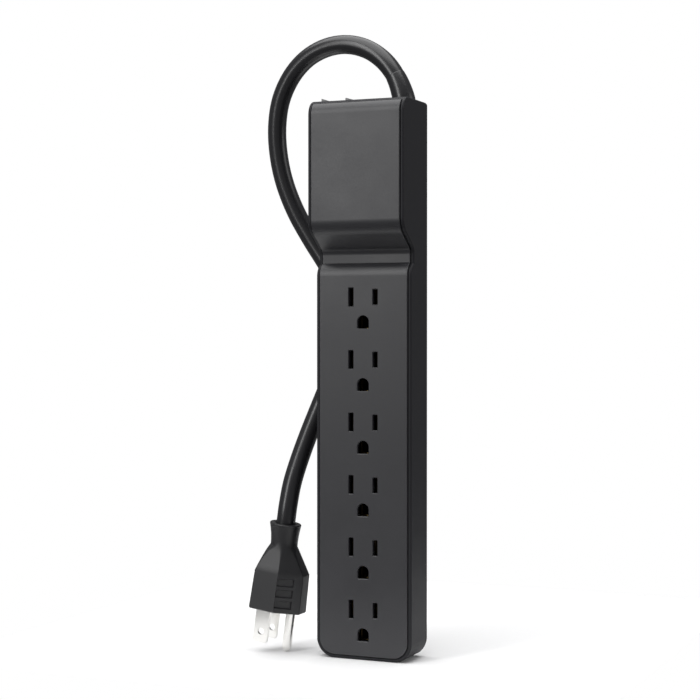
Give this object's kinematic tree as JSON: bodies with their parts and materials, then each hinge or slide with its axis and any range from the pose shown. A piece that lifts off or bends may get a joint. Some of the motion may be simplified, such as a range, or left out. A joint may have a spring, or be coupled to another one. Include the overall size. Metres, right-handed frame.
{
  "type": "surge protector power strip",
  "caption": "Black plug-in power strip with a raised switch head, a column of grounded outlets and a short moulded mains lead ending in its own plug.",
  "frame": {"origin": "middle of the foot, on the plane the strip stands on", "axes": "+Z along the strip from the foot to the switch end, -Y out of the outlet face, +X to the right when the outlets are looked at"},
  "size_m": [0.0871, 0.0449, 0.3071],
  "materials": {
    "shell_plastic": "fine satin moulding",
    "face_plastic": "fine satin moulding",
    "switch_plastic": "smooth moulding",
    "cord_pvc": "smooth extruded jacket",
    "plug_pvc": "smooth over-moulding",
    "nickel": "bright nickel plate",
    "brass": "stamped sheet",
    "steel": "zinc plated",
    "board": "solder mask on glass laminate",
    "varistor_blue": "dipped epoxy",
    "insulator": "natural moulding",
    "wire_black": "extruded insulation",
    "wire_white": "extruded insulation",
    "wire_green": "extruded insulation"
  },
  "bodies": {
    "housing": {"body_shell": "shell_plastic", "front_cover": "face_plastic", "rear_cover": "shell_plastic", "cover_screw_1": "steel", "cover_screw_2": "steel", "cover_screw_3": "steel", "cover_screw_4": "steel", "cover_screw_5": "steel", "cover_screw_6": "steel", "switch_frame": "switch_plastic", "switch_tab_line": "brass", "switch_tab_load": "brass", "breaker_body": "insulator", "reset_spring": "steel", "cord_strain_relief": "cord_pvc", "cord_clamp": "insulator", "power_cord": "cord_pvc", "plug_body": "plug_pvc", "neutral_blade": "nickel", "hot_blade": "nickel", "ground_pin": "nickel", "hot_bus_bar": "brass", "neutral_bus_bar": "brass", "ground_bus_bar": "brass", "bus_holder_top": "insulator", "bus_holder_middle": "insulator", "bus_holder_bottom": "insulator", "surge_board": "board", "varistor_1": "varistor_blue", "varistor_2": "varistor_blue", "varistor_3": "varistor_blue", "thermal_fuse": "steel", "filter_capacitor": "insulator", "line_wire": "wire_black", "switched_wire": "wire_black", "neutral_wire": "wire_white", "ground_wire": "wire_green"},
    "rocker": {"rocker": "switch_plastic"},
    "reset_button": {"reset_button": "switch_plastic"}
  },
  "joints": [
    {"name": "rocker_turn", "type": "hinge", "parent": "housing", "child": "rocker", "pos_m": [-0.0162, -0.0044, 0.2699], "axis": [0, 1, 0], "range_deg": [-24, 0]},
    {"name": "reset_push", "type": "slide", "parent": "housing", "child": "reset_button", "axis": [0, 0, -1], "range_m": [0, 0.0016], "stiffness_N_per_m": 300, "springref_m": -0.002, "deforming": ["reset_spring"]}
  ]
}
